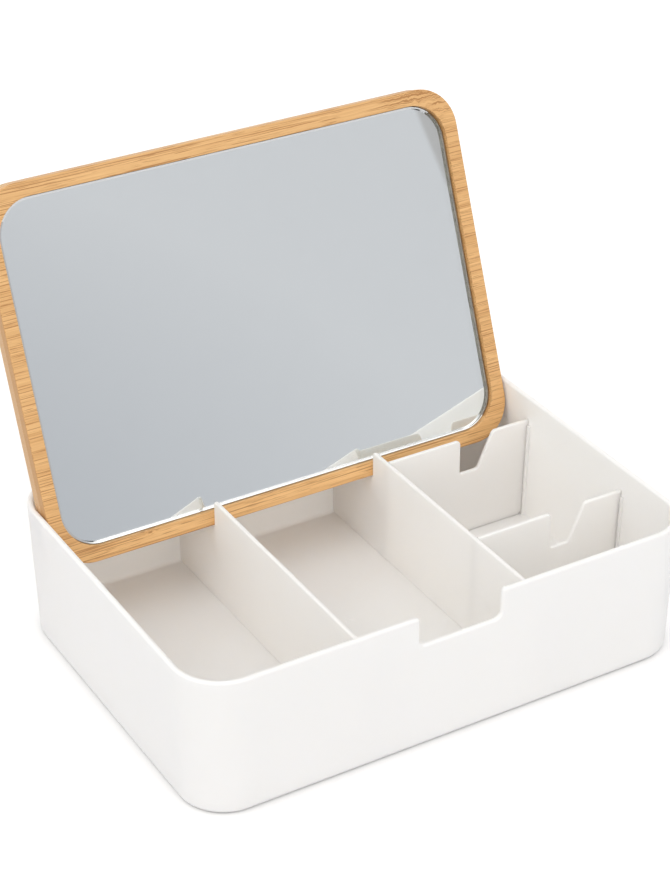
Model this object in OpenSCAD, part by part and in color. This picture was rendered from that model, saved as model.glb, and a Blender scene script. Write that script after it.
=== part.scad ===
/* [Tray] */
// Outside width of the tray at its rim
tray_w = 270; // [220:1:330]
// Outside depth of the tray at its rim
tray_d = 195; // [175:1:240]
// Height of the rim above the table
tray_h = 74; // [64:1:95]
// Thickness of the walls
wall_t = 3; // [2:0.1:4]
// Thickness of the floor
floor_t = 3; // [1.5:0.1:4]
// Outside radius of the upright corners, at the rim
corner_r = 25; // [18:1:34]
// How far the walls lean outward, in degrees
draft = 1.5; // [0.5:0.1:2.5]
// Rounding of the two edges of the rim
rim_r = 1.3; // [0.4:0.1:1.8]
// Rounding of the bottom edge outside
base_r = 2; // [0.5:0.1:3]
// Rounding between walls and floor inside
floor_r = 2; // [0.5:0.1:4]
// Depth of the shallow hollow under the floor
base_recess = 1.3; // [0.4:0.1:2]
// Width of the border around that hollow
border_w = 4; // [3.5:0.1:8]

/* [Finger notch] */
// Width of the notch in the front wall, at the top
notch_w = 45; // [30:1:70]
// How much narrower the notch is at its bottom, on each side
notch_taper = 0.5; // [0:0.1:3]
// Depth of the notch below the rim
notch_depth = 16; // [8:0.5:24]
// Rounding of the notch's lower corners
notch_r = 3.5; // [1:0.1:7]
// Rounding of the notch's upper corners
notch_lip_r = 1.8; // [0.5:0.1:4]

/* [Long dividers] */
// Clear width of the middle bay
middle_w = 89.3; // [60:0.1:110]
// Thickness of the long dividers
divider_t = 2.3; // [1.6:0.1:3.5]
// Rounding of the top edges of all dividers
top_r = 0.9; // [0.2:0.1:1.5]
// How far the closed lid lies below the rim
lid_sink = 0.3; // [0:0.1:2]
// How deep the lid's front edge sits below the divider tops
slot_depth = 14.1; // [8:0.1:25]
// Clearance in front of the standing lid and behind it
slot_gap = 0.3; // [0.2:0.1:1]

/* [Cross dividers] */
// Thickness of the cross dividers
cross_t = 2.2; // [1.4:0.1:3]
// Clear depth between the two cross dividers
cell_d = 78.5; // [50:0.1:80]
// How far that cell's middle lies behind the tray's middle
cell_shift = 0.65; // [-12:0.05:3]
// Clearance at the two ends of a cross divider
cross_gap = 0.3; // [0.2:0.1:1]
// Distance from the dip in the top to the wall's end of a cross divider
dip_setback = 21.7; // [10:0.1:30]
// Width of the dip's flat bottom
dip_w = 11.1; // [5:0.1:16]
// Width of the dip's slope
dip_slope_w = 9; // [2:0.1:12]
// Depth of the dip
dip_depth = 20; // [8:0.1:30]
// Rounding of the dip's lower corners
dip_r = 1.6; // [0.4:0.1:2]
// Rounding of the dip's upper corners
dip_lip_r = 2.4; // [0.4:0.1:3]
// Width of the guide ribs beside a cross divider
guide_w = 2; // [1:0.1:3]
// How far the guide ribs stand out
guide_d = 1.1; // [0.8:0.1:3]
// How far the guide ribs end below the divider tops
guide_drop = 3; // [0.5:0.1:6]
// Clearance between a cross divider and each rib
guide_gap = 0.2; // [0.1:0.05:0.5]

/* [Lid] */
// Thickness of the lid
lid_t = 12; // [9:0.1:16]
// Clearance on either side of the closed lid, at the rim
lid_gap = 0.8; // [0.5:0.1:2]
// Clearance in front of the closed lid and behind it, at the rim
lid_end_gap = 1.4; // [0.8:0.1:3]
// Rounding of the lid's outer edges
lid_edge_r = 0.8; // [0.2:0.1:2]
// How far the standing lid leans back, in degrees
lid_lean = 21.4; // [16:0.1:26]
// Distance from the rear wall to the front of the lid's foot
lid_setback = 40.7; // [36:0.1:44]

/* [Mirror] */
// Width of the wooden frame around the mirror
frame_w = 7.5; // [5:0.1:20]
// Corner radius of the mirror opening
opening_r = 19; // [8:0.5:30]
// Size of the small chamfer around the opening
opening_chamfer = 0.5; // [0.1:0.1:1]
// How far the glass lies below the frame's face
glass_sink = 2.1; // [1.2:0.1:3]
// Thickness of the glass
glass_t = 3; // [2:0.1:4]
// Gap between the glass and the frame
glass_gap = 0.4; // [0.2:0.1:1.5]
// Size of the chamfer along the front edge of the glass
glass_chamfer = 0.9; // [0.1:0.1:1.5]
// Thickness of the silvering and its paint
backing_t = 0.1; // [0.05:0.05:0.3]
// Thickness of the adhesive tape
tape_t = 0.3; // [0.2:0.1:1]
// Width of a strip of tape
tape_w = 18; // [8:1:30]
// Length of a strip of tape
tape_l = 190; // [80:1:196]
// Distance between the middles of two strips
tape_step = 58; // [31:1:64]

/* [Feet] */
// Diameter of an anti-slip pad
pad_dia = 12; // [6:0.5:16]
// How high the pads lift the tray off the table
pad_lift = 0.5; // [0.2:0.1:1.5]
// Distance from the tray's side at the base to the middle of a corner pad
pad_inset = 16; // [14:0.5:30]

/* [Hidden] */

// Overrun of every cut
over = 1;
// Narrowest flat that two roundings leave between them
least_land = 0.2;
// Steps in a rounded corner of an outline
steps = 8;
// Fragments in a full turn
round_fn = 96;
// Strips of tape behind the mirror
tape_count = 3;
// Degrees in half a turn
half_turn = 180;

// Levels of the tray
base_z = pad_lift;
under_z = base_z + base_recess;
floor_z = under_z + floor_t;
divider_z = tray_h - lid_sink - lid_t;
guide_z = divider_z - guide_drop;

// Roundings, limited by the walls that carry them
rim_round = min(rim_r, (wall_t - least_land) / 2);
divider_round = min(top_r, (divider_t - least_land) / 2);
cross_round = min(top_r, (cross_t - least_land) / 2);

// Places of the dividers
divider_x = (middle_w + divider_t) / 2;
cross_step = cell_d + cross_t;
cross_left_x = divider_x + divider_t / 2 + cross_gap;

// Sizes and places of the lid
lid_w = tray_w - 2 * wall_t - 2 * lid_gap;
lid_h = tray_d - 2 * wall_t - 2 * lid_end_gap;
lid_r = corner_r - wall_t - lid_gap;
foot_y = tray_d / 2 - wall_t - lid_setback;
foot_z = divider_z - slot_depth;

// Sizes of the mirror and the two plies
frame_t = glass_sink + glass_t + backing_t + tape_t;
panel_t = lid_t - frame_t;
opening_w = lid_w - 2 * frame_w;
opening_h = lid_h - 2 * frame_w;
glass_w = opening_w - 2 * glass_gap;
glass_h = opening_h - 2 * glass_gap;
glass_r = opening_r - glass_gap;

// How far the leaning wall stands inside the rim's outline at height z
function lean(z) = (tray_h - z) * tan(draft);
// Inner face of the right wall at height z
function wall_x(z) = tray_w / 2 - wall_t - lean(z);
// Middle of the wall that carries something from height low to high
function root(size, low, high) = size / 2 - (wall_t + lean(low) + lean(high)) / 2;

function unit(v) = v / norm(v);
// Points of the arc of radius r that rounds the corner b between a and c
function corner_arc(a, b, c, r) =
    let (
        u = unit(a - b),
        v = unit(c - b),
        half = acos(u * v) / 2,
        middle = b + unit(u + v) * r / sin(half),
        first = b + u * r / tan(half) - middle,
        last = b + v * r / tan(half) - middle,
        start = atan2(first.y, first.x),
        turn = atan2(last.y, last.x) - start,
        sweep = (turn + 3 * half_turn) % (2 * half_turn) - half_turn
    )
    [for (i = [0:steps]) middle + r * [cos(start + sweep * i / steps), sin(start + sweep * i / steps)]];
// Outline through the corners, each given as [x, y, radius]
function rounded(corners) =
    let (n = len(corners), p = [for (c = corners) [c.x, c.y]])
    [
        for (i = [0:n - 1])
            each (corners[i].z > 0
                ? corner_arc(p[(i + n - 1) % n], p[i], p[(i + 1) % n], corners[i].z)
                : [p[i]])
    ];

// Plate with round upright corners whose edge follows a section; the section's x runs
// outward from the corner's axis, and the core fills the plate between low and high
module plate(w, d, r, section, low, high) {
    for (k = [0:3]) {
        run = k % 2 == 0 ? w - 2 * r : d - 2 * r;
        off = k % 2 == 0 ? d / 2 - r : w / 2 - r;
        rotate([0, 0, 90 * k])
            translate([0, off, 0])
                rotate([90, 0, 90])
                    linear_extrude(run, center = true)
                        polygon(section);
        side_x = k == 0 || k == 3 ? w / 2 - r : r - w / 2;
        side_y = k < 2 ? d / 2 - r : r - d / 2;
        translate([side_x, side_y, 0])
            rotate([0, 0, 90 * k])
                rotate_extrude(angle = 90, $fn = round_fn)
                    polygon(section);
    }
    translate([r - w / 2, r - d / 2, low])
        cube([w - 2 * r, d - 2 * r, high - low]);
}

// Extrudes an outline drawn in X and Z along Y, centred on y
module along_y(length, y) {
    translate([0, y, 0])
        rotate([90, 0, 0])
            linear_extrude(length, center = true)
                children();
}

// Extrudes an outline drawn in Y and Z along X, centred on x
module along_x(length, x) {
    translate([x, 0, 0])
        rotate([90, 0, 90])
            linear_extrude(length, center = true)
                children();
}

// Floor, walls and rim of the tray
module tray_shell() {
    section = rounded([
        [corner_r - lean(base_z), base_z, base_r],
        [corner_r, tray_h, rim_round],
        [corner_r - wall_t, tray_h, rim_round],
        [corner_r - wall_t - lean(floor_z), floor_z, floor_r],
        [0, floor_z, 0],
        [0, under_z, 0],
        [corner_r - lean(base_z) - border_w, under_z, 0],
        [corner_r - lean(base_z) - border_w, base_z, 0]
    ]);
    plate(tray_w, tray_d, corner_r, section, under_z, floor_z);
}

// One long divider, from the front wall to the rear wall
module long_divider(x) {
    along_y(2 * root(tray_d, floor_z, divider_z), 0)
        polygon(rounded([
            [x - divider_t / 2, under_z, 0],
            [x - divider_t / 2, divider_z, divider_round],
            [x + divider_t / 2, divider_z, divider_round],
            [x + divider_t / 2, under_z, 0]
        ]));
}

// Slanting slot through both long dividers: its floor and back follow the lid
module lid_slot() {
    up = [sin(lid_lean), cos(lid_lean)];
    back = [cos(lid_lean), -sin(lid_lean)];
    foot = [foot_y, foot_z];
    rise = (slot_depth + lid_t) / cos(lid_lean) + over;
    along_x(middle_w + 2 * divider_t + 2 * over, 0)
        polygon([
            foot + [-slot_gap, slot_gap * tan(lid_lean)],
            foot + back * (lid_t + slot_gap),
            foot + back * (lid_t + slot_gap) + up * rise,
            [foot_y - slot_gap, divider_z + lid_t]
        ]);
}

// Finger notch through the front wall
module finger_notch() {
    half = notch_w / 2;
    low_z = tray_h - notch_depth;
    flare = notch_lip_r + over;
    along_y(2 * (wall_t + over + lean(low_z)), -tray_d / 2)
        polygon(rounded([
            [-half - flare, tray_h, 0],
            [-half, tray_h, notch_lip_r],
            [notch_taper - half, low_z, notch_r],
            [half - notch_taper, low_z, notch_r],
            [half, tray_h, notch_lip_r],
            [half + flare, tray_h, 0],
            [half + flare, tray_h + over, 0],
            [-half - flare, tray_h + over, 0]
        ]));
}

// Pair of guide ribs beside a cross divider, on the wall and on the long divider
module guides(y) {
    for (side = [-1, 1]) {
        rib_y = y + side * (cross_t / 2 + guide_gap + guide_w / 2);
        along_y(guide_w, rib_y)
            polygon([
                [wall_x(under_z) - guide_d, under_z],
                [wall_x(guide_z) - guide_d, guide_z],
                [root(tray_w, floor_z, guide_z), guide_z],
                [root(tray_w, floor_z, guide_z), under_z]
            ]);
        along_y(guide_w, rib_y)
            polygon([
                [divider_x, under_z],
                [divider_x, guide_z],
                [divider_x + divider_t / 2 + guide_d, guide_z],
                [divider_x + divider_t / 2 + guide_d, under_z]
            ]);
    }
}

module tray() {
    color("whitesmoke")
        difference() {
            union() {
                tray_shell();
                long_divider(-divider_x);
                long_divider(divider_x);
                for (side = [-1, 1])
                    guides(cell_shift + side * cross_step / 2);
            }
            lid_slot();
            finger_notch();
        }
}

// Cross divider that stands on the floor between its guide ribs
module cross_divider(y) {
    dip_x = wall_x(divider_z) - cross_gap - dip_setback - dip_slope_w - dip_w;
    dip_z = divider_z - dip_depth;
    toe = floor_r + cross_gap;
    difference() {
        along_y(cross_t, y)
            polygon(rounded([
                [cross_left_x, floor_z, 0],
                [cross_left_x, divider_z, cross_round],
                [dip_x, divider_z, dip_lip_r],
                [dip_x, dip_z, dip_r],
                [dip_x + dip_w, dip_z, dip_r],
                [dip_x + dip_w + dip_slope_w, divider_z, dip_lip_r],
                [wall_x(divider_z) - cross_gap, divider_z, cross_round],
                [wall_x(floor_z + toe) - cross_gap, floor_z + toe, 0],
                [wall_x(floor_z) - cross_gap - toe, floor_z, 0]
            ]));
        for (side = [-1, 1])
            translate([cross_left_x - over, y + side * cross_t / 2, divider_z])
                rotate([0, 90, 0])
                    linear_extrude(tray_w / 2)
                        polygon([
                            [-over, -side * cross_round],
                            [cross_round, 0],
                            [cross_round, side * over],
                            [-over, side * over]
                        ]);
    }
}

module divider_front() {
    color("white")
        cross_divider(cell_shift - cross_step / 2);
}

module divider_rear() {
    color("white")
        cross_divider(cell_shift + cross_step / 2);
}

// Puts what is drawn flat on the lid's middle, face up, where the lid stands
module on_lid() {
    translate([0, foot_y, foot_z])
        rotate([90 - lid_lean, 0, 0])
            translate([0, lid_h / 2, -lid_t])
                children();
}

// Opening for the mirror, chamfered at the face
module mirror_opening() {
    flare = opening_chamfer + over;
    section = [
        [0, panel_t - over],
        [opening_r, panel_t - over],
        [opening_r, lid_t - opening_chamfer],
        [opening_r + flare, lid_t + over],
        [0, lid_t + over]
    ];
    plate(opening_w, opening_h, opening_r, section, panel_t - over, lid_t + over);
}

module lid_frame() {
    color("burlywood")
        on_lid()
            difference() {
                plate(lid_w, lid_h, lid_r, rounded([
                    [lid_r, panel_t, 0],
                    [lid_r, lid_t, lid_edge_r],
                    [0, lid_t, 0],
                    [0, panel_t, 0]
                ]), panel_t, lid_t);
                mirror_opening();
            }
}

module lid_panel() {
    color("tan")
        on_lid()
            plate(lid_w, lid_h, lid_r, rounded([
                [0, 0, 0],
                [lid_r, 0, lid_edge_r],
                [lid_r, panel_t, 0],
                [0, panel_t, 0]
            ]), 0, panel_t);
}

module mirror_glass() {
    low = panel_t + tape_t + backing_t;
    high = low + glass_t;
    color("lightcyan")
        on_lid()
            plate(glass_w, glass_h, glass_r, [
                [0, low],
                [glass_r, low],
                [glass_r, high - glass_chamfer],
                [glass_r - glass_chamfer, high],
                [0, high]
            ], low, high);
}

module mirror_backing() {
    low = panel_t + tape_t;
    color("silver")
        on_lid()
            plate(glass_w, glass_h, glass_r, [
                [0, low],
                [glass_r, low],
                [glass_r, low + backing_t],
                [0, low + backing_t]
            ], low, low + backing_t);
}

module mirror_tape() {
    color("gainsboro")
        on_lid()
            for (k = [0:tape_count - 1])
                translate([
                    -tape_l / 2,
                    (k - (tape_count - 1) / 2) * tape_step - tape_w / 2,
                    panel_t
                ])
                    cube([tape_l, tape_w, tape_t]);
}

// One pad under the tray's middle and one near each corner
module feet() {
    pad_x = tray_w / 2 - lean(base_z) - pad_inset;
    pad_y = tray_d / 2 - lean(base_z) - pad_inset;
    corners = [for (x = [-pad_x, pad_x], y = [-pad_y, pad_y]) [x, y]];
    color("lightgray")
        for (place = concat([[0, 0]], corners))
            translate([place.x, place.y, 0])
                cylinder(h = under_z, d = pad_dia, $fn = round_fn);
}

tray();
divider_front();
divider_rear();
lid_frame();
lid_panel();
mirror_glass();
mirror_backing();
mirror_tape();
feet();
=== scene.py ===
# %% [markdown]
# # A vanity organizer with a mirror in its lid
#
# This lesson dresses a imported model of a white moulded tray, two loose cross dividers and a
# bamboo lid that holds a mirror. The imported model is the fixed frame: it says where everything
# is, in metres, and nothing here moves it. The visible pieces are modelled again with rounded
# edges and smooth corners, and every surface gets a finish made of nodes.

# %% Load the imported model
from math import atan2, cos, degrees, pi, radians, sin, tan

import bmesh
import bpy
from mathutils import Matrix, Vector


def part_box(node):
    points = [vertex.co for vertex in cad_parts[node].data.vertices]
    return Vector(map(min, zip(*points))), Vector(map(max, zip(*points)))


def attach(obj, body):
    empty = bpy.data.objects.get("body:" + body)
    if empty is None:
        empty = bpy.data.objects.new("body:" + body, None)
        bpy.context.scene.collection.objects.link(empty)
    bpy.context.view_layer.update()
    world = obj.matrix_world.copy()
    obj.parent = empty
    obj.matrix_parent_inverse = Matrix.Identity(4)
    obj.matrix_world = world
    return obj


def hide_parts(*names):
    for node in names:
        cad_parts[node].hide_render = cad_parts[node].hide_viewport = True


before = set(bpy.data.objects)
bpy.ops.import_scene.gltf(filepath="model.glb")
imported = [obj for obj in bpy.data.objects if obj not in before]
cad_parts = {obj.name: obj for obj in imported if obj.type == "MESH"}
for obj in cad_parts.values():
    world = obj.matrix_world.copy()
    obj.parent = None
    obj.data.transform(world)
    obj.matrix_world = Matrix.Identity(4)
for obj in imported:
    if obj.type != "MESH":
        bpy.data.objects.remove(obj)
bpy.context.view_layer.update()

MM = 0.001
print("packed nodes:", ", ".join(sorted(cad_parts)))

# %% [markdown]
# ## Camera
#
# The organizer is seen from its left front corner and from above, through a long lens that keeps
# upright edges nearly parallel. A camera could be aimed with a constraint, but a plain place and
# three angles stay the same whatever else is in the scene.

# %% Add the camera
bpy.ops.object.camera_add(
    location=(-0.4907996, -0.8144094, 0.6766245),
    rotation=(radians(59.0531), radians(0.0356), radians(-30.6233)),
)
camera = bpy.context.object
camera.name = "photo_camera"
camera.data.sensor_fit = "HORIZONTAL"
camera.data.sensor_width = 36.0
camera.data.lens = 125.738
camera.data.shift_x = 0.00007
camera.data.shift_y = -0.00005
camera.data.clip_start = 0.05
camera.data.clip_end = 50.0
bpy.context.scene.camera = camera
print("camera at", [round(value, 3) for value in camera.location], "lens", camera.data.lens)

# %% [markdown]
# ## Small helpers for modelling
#
# An operator acts on whatever is selected, and loading the model leaves its nodes selected. So
# the first helper clears the selection, and the second picks faces, edges or vertices of the
# piece in edit mode by a test of their place or direction, as one would click on them.

# %% Selecting pieces and parts of a piece
def only(*pieces):
    """Selects these pieces alone and makes the first one active."""
    bpy.ops.object.select_all(action="DESELECT")
    for piece in pieces:
        piece.select_set(True)
    bpy.context.view_layer.objects.active = pieces[0]


def pick(kind, test):
    """Selects the verts, edges or faces of the active piece that pass the test."""
    mode = {"verts": "VERT", "edges": "EDGE", "faces": "FACE"}[kind]
    bpy.ops.mesh.select_mode(type=mode)
    bpy.ops.mesh.select_all(action="DESELECT")
    mesh = bpy.context.object.data
    form = bmesh.from_edit_mesh(mesh)
    chosen = [part for part in getattr(form, kind) if test(part)]
    for part in chosen:
        part.select_set(True)
    bmesh.update_edit_mesh(mesh)
    return len(chosen)


def edit(piece):
    """Opens this piece alone for editing, with all of it selected."""
    only(piece)
    bpy.ops.object.mode_set(mode="EDIT")
    bpy.ops.mesh.select_all(action="SELECT")


def leave_edit():
    """Closes the piece that is open for editing."""
    bpy.ops.object.mode_set(mode="OBJECT")


only(camera)
print("ready to model")

# %% [markdown]
# A finished piece keeps its object at the origin, with its place in its mesh. Sheets with round
# corners come up again and again here: the tray, the lid, the opening and the glass all start as
# one. A plane whose four corners are bevelled gives exactly that outline.

# %% Starting shapes
def settle(piece):
    """Moves the piece's place, turn and size into its mesh."""
    only(piece)
    bpy.ops.object.transform_apply(location=True, rotation=True, scale=True)
    return piece


def rounded_sheet(name, width, depth, radius, height, steps=24):
    """A flat sheet with round corners, at this height and facing up."""
    bpy.ops.mesh.primitive_plane_add(size=1, location=(0, 0, height))
    piece = bpy.context.object
    piece.name = piece.data.name = name
    edit(piece)
    bpy.ops.transform.resize(value=(width, depth, 1))
    bpy.ops.mesh.bevel(offset=radius, segments=steps, profile=0.5, affect="VERTICES")
    leave_edit()
    return settle(piece)


def block(name, low, high):
    """A block between two corners, to be cut or bevelled."""
    middle = [(a + b) / 2 for a, b in zip(low, high)]
    bpy.ops.mesh.primitive_cube_add(size=1, location=middle)
    piece = bpy.context.object
    piece.name = piece.data.name = name
    edit(piece)
    bpy.ops.transform.resize(value=[b - a for a, b in zip(low, high)])
    leave_edit()
    return settle(piece)


def slice_off(point, away):
    """In edit mode, cuts the piece at a plane and drops the side that away points to."""
    bpy.ops.mesh.select_all(action="SELECT")
    bpy.ops.mesh.bisect(plane_co=point, plane_no=away, use_fill=True, clear_outer=True)


def combine(piece, tool, operation):
    """Joins the tool to the piece or cuts it away, and removes the tool."""
    only(piece)
    bpy.ops.object.modifier_add(type="BOOLEAN")
    step = piece.modifiers[-1]
    step.object = tool
    step.operation = operation
    step.solver = "EXACT"
    bpy.ops.object.modifier_apply(modifier=step.name)
    bpy.data.objects.remove(tool)
    return len(piece.data.polygons)


def smooth(piece, angle=35.0):
    """Smooth shading up to an angle, with large faces kept flat."""
    only(piece)
    bpy.ops.object.shade_smooth_by_angle(angle=radians(angle))
    bpy.ops.object.modifier_add(type="WEIGHTED_NORMAL")
    step = piece.modifiers[-1]
    step.keep_sharp = True
    step.weight = 60
    bpy.ops.object.modifier_apply(modifier=step.name)
    print(piece.name, "has", len(piece.data.polygons), "faces")


print("starting shapes: sheet, block, slice, combine, smooth")

# %% [markdown]
# ## The tray
#
# The real tray is one injection moulding. Its walls lean outward by a degree and a half so that
# it leaves the mould, and they are three millimetres thick all the way down. A moulded corner is
# never sharp, so the edges around the floor get a radius of two millimetres. The bevel is told
# the distance to the edge, which for a leaning wall is a little less than the radius.

# %% Measures of the tray, and tests for its edges
TRAY_W, TRAY_D, CORNER_R = 270 * MM, 195 * MM, 25 * MM
RIM_Z, FLOOR_Z, UNDER_Z, BASE_Z = 74 * MM, 4.8 * MM, 1.8 * MM, 0.5 * MM
WALL = 3 * MM
DRAFT = radians(1.5)
FOOT_R, FOOT_ANGLE = 2 * MM, 91.5  # rounding at the floor, and the wall's angle there in degrees
SAME = 0.01 * MM  # points that differ by less are level, or one


def lean(height):
    """How far the wall stands inside the rim's outline at this height."""
    return (RIM_Z - height) * tan(DRAFT)


def reach(radius, inner_angle):
    """Distance from an edge at which a rounding of this radius starts."""
    return radius / tan(radians(inner_angle) / 2)


def level_at(height):
    """A test for edges and faces that lie level at this height."""
    return lambda part: all(abs(v.co.z - height) < SAME for v in part.verts)


def round_edges(test, distance, steps):
    """In edit mode, rounds the edges that pass the test."""
    count = pick("edges", test)
    bpy.ops.mesh.bevel(offset=distance, segments=steps, profile=0.5, affect="EDGES")
    return count


print("from rim to table the wall leans in by", round(lean(0) / MM, 2), "mm")

# %% [markdown]
# Extruding a profile along a path would give such a bowl, but insets are simpler: each inset
# follows the round corners by itself, and moving the inset face down makes a wall with exactly
# the right lean.

# %% Inner side of the tray: rim, wall and floor
tray = rounded_sheet("tray_moulding", TRAY_W, TRAY_D, CORNER_R, RIM_Z)
edit(tray)
bpy.ops.mesh.inset(thickness=WALL, use_even_offset=True)
bpy.ops.mesh.inset(thickness=lean(FLOOR_Z), use_even_offset=True)
bpy.ops.transform.translate(value=(0, 0, FLOOR_Z - RIM_Z))
round_edges(level_at(FLOOR_Z), reach(FOOT_R, FOOT_ANGLE), 6)
leave_edit()
corner = Vector((TRAY_W / 2 - CORNER_R, TRAY_D / 2 - CORNER_R))
arcs = [(v.co.xy - corner).length for v in tray.data.vertices
        if v.co.z > RIM_Z - SAME and v.co.x > corner.x and v.co.y > corner.y]
print("corner radii in mm:", round(min(arcs) / MM, 2), "to", round(max(arcs) / MM, 2))

# %% [markdown]
# The outer side starts from the same outline. The edge that stands on the table is rounded, and
# the floor has a shallow hollow underneath with a border around it, which one more inset and a
# short extrusion give. Both sides are then joined where they share the rim's outline, which
# closes the shell.

# %% Outer side, hollow underneath, and the closed shell
BORDER = 4 * MM
outside = rounded_sheet("outside", TRAY_W, TRAY_D, CORNER_R, RIM_Z)
edit(outside)
bpy.ops.mesh.inset(thickness=lean(BASE_Z), use_even_offset=True)
bpy.ops.transform.translate(value=(0, 0, BASE_Z - RIM_Z))
foot_rounding = reach(FOOT_R, FOOT_ANGLE)
round_edges(level_at(BASE_Z), foot_rounding, 6)
pick("faces", level_at(BASE_Z))
bpy.ops.mesh.inset(thickness=BORDER - foot_rounding, use_even_offset=True)
bpy.ops.mesh.extrude_region_move(TRANSFORM_OT_translate={"value": (0, 0, UNDER_Z - BASE_Z)})
leave_edit()
only(tray, outside)
bpy.ops.object.join()
edit(tray)
bpy.ops.mesh.remove_doubles(threshold=SAME)
bpy.ops.mesh.normals_make_consistent(inside=False)
leave_edit()
print("tray shell:", len(tray.data.polygons), "faces")

# %% [markdown]
# ### Long dividers with a slot for the lid
#
# Two walls run from front to back in the same moulding. Their tops are rounded, and a leaning
# slot near the back takes the lid's edge. The lid's own directions are named first: up along its
# face, straight out of its back, and the place where its front edge stands in the slot.

# %% Measures of the long dividers, and tests for their edges
TOP_Z, BURIED_Z = 61.7 * MM, 2.5 * MM  # each block starts inside the floor, so that it joins it
LONG_X, LONG_HALF, LONG_END = 45.8 * MM, 1.15 * MM, 95 * MM
SLOT_FRONT, SLOT_W = 53.5 * MM, 12.3 * MM
SLOT_LIP_R, LONG_EDGE_R = 1.2 * MM, 0.9 * MM
LID_LEAN = radians(21.4)
LID_UP = Vector((0, sin(LID_LEAN), cos(LID_LEAN)))
LID_BACK = Vector((0, cos(LID_LEAN), -sin(LID_LEAN)))
LID_FOOT = Vector((0, 53.8 * MM, 47.6 * MM))


def runs_along(edge, axis):
    """Whether the edge is parallel to an axis."""
    direction = (edge.verts[1].co - edge.verts[0].co).normalized()
    return abs(direction[axis]) > 0.999


def sharp(edge):
    """Whether its faces meet at a clear angle, unlike the small steps of a rounding."""
    return edge.calc_face_angle(0) > radians(50)


def slot_lip(edge):
    """An edge across the divider's top, where the slot opens."""
    return runs_along(edge, 0) and level_at(TOP_Z)(edge) and abs(edge.verts[0].co.y) < 90 * MM


def long_edge(edge):
    """A sharp edge of a divider's side, apart from those inside the tray's floor and walls."""
    in_wall = all(abs(v.co.y) > LONG_END - 0.1 * MM for v in edge.verts)
    buried = in_wall or level_at(BURIED_Z)(edge)
    return sharp(edge) and not buried and not runs_along(edge, 0)


print("the slots take the lid", round((TOP_Z - LID_FOOT.z) / MM, 1), "mm below the dividers' tops")

# %% [markdown]
# A block that is larger than the slot is trimmed by planes to the slot's exact form: an upright
# front, a floor square to the leaning lid, and a back that follows the lid.

# %% Add the long dividers
for side in (-1, 1):
    middle = side * LONG_X
    wall = block("long_divider", (middle - LONG_HALF, -LONG_END, BURIED_Z),
                 (middle + LONG_HALF, LONG_END, TOP_Z))
    slot = block("slot", (middle - 3 * MM, SLOT_FRONT, 40 * MM),
                 (middle + 3 * MM, 90 * MM, 70 * MM))
    edit(slot)
    slice_off(LID_FOOT, -LID_UP)
    slice_off(LID_FOOT + LID_BACK * SLOT_W, LID_BACK)
    leave_edit()
    combine(wall, slot, "DIFFERENCE")
    edit(wall)
    round_edges(slot_lip, SLOT_LIP_R, 5)
    round_edges(long_edge, LONG_EDGE_R, 5)
    leave_edit()
    faces = combine(tray, wall, "UNION")
    print("divider at x", round(middle / MM, 1), "joined, tray has", faces, "faces")

# %% [markdown]
# ### Guide ribs
#
# The cross dividers drop in between pairs of small ribs, on the long divider and on the side
# wall. The ribs on the side wall lean with it, so a plane trims each of those blocks. The gaps
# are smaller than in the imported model, which keeps more room for the pieces to move, because
# on the real object they are too narrow to be seen.

# %% Add the guide ribs
GUIDE_Z = 58.7 * MM
CROSS_Y = {"front": -39.7 * MM, "rear": 41 * MM}
CROSS_HALF, CROSS_GAP = 1.1 * MM, 0.06 * MM
RIB_HALF, RIB_DEPTH, RIB_R = 1 * MM, 1.1 * MM, 0.3 * MM


def inner_wall_x(height):
    """Inner face of the right-hand wall at this height."""
    return TRAY_W / 2 - WALL - lean(height)


def rib_block(place, low_x, high_x):
    """A block for a rib at this Y, open for editing."""
    made = block("rib", (low_x, place - RIB_HALF, BURIED_Z), (high_x, place + RIB_HALF, GUIDE_Z))
    edit(made)
    return made


for middle in CROSS_Y.values():
    for side in (-1, 1):
        place = middle + side * (CROSS_HALF + CROSS_GAP + RIB_HALF)
        rib = rib_block(place, LONG_X, LONG_X + LONG_HALF + RIB_DEPTH)
        round_edges(lambda e: all(v.co.x > 48 * MM for v in e.verts), RIB_R, 3)
        leave_edit()
        combine(tray, rib, "UNION")
        rib = rib_block(place, 125 * MM, 132.8 * MM)
        slice_off((inner_wall_x(GUIDE_Z) - RIB_DEPTH, 0, GUIDE_Z), (-cos(DRAFT), 0, sin(DRAFT)))
        round_edges(lambda e: all(v.co.x < 131 * MM for v in e.verts), RIB_R, 3)
        leave_edit()
        faces = combine(tray, rib, "UNION")
print("ribs joined, tray has", faces, "faces")

# %% [markdown]
# ### Finger notch
#
# The front wall is cut down in the middle so that a finger can lift the closed lid. The block
# that cuts it is a little wider at its top, and its lower edges are rounded before it cuts. The
# notch's upper corners are rounded afterwards, on the tray itself.

# %% Cut the finger notch
NOTCH_HALF, NOTCH_Z = 22 * MM, RIM_Z - 16 * MM
NOTCH_ANGLE = 91.8  # between the notch's side and its floor, in degrees
NOTCH_SPREAD = 23 / 22  # how much wider its top is
NOTCH_LOW_R, NOTCH_TOP_R = 3.5 * MM, 1.8 * MM
FRONT_Y = -94 * MM  # the front wall lies before this


def notch_lip(edge):
    """An upper corner of the notch, through the front wall."""
    return (runs_along(edge, 1) and level_at(RIM_Z)(edge)
            and abs(edge.verts[0].co.x) < 25 * MM and edge.verts[0].co.y < FRONT_Y)


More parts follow.
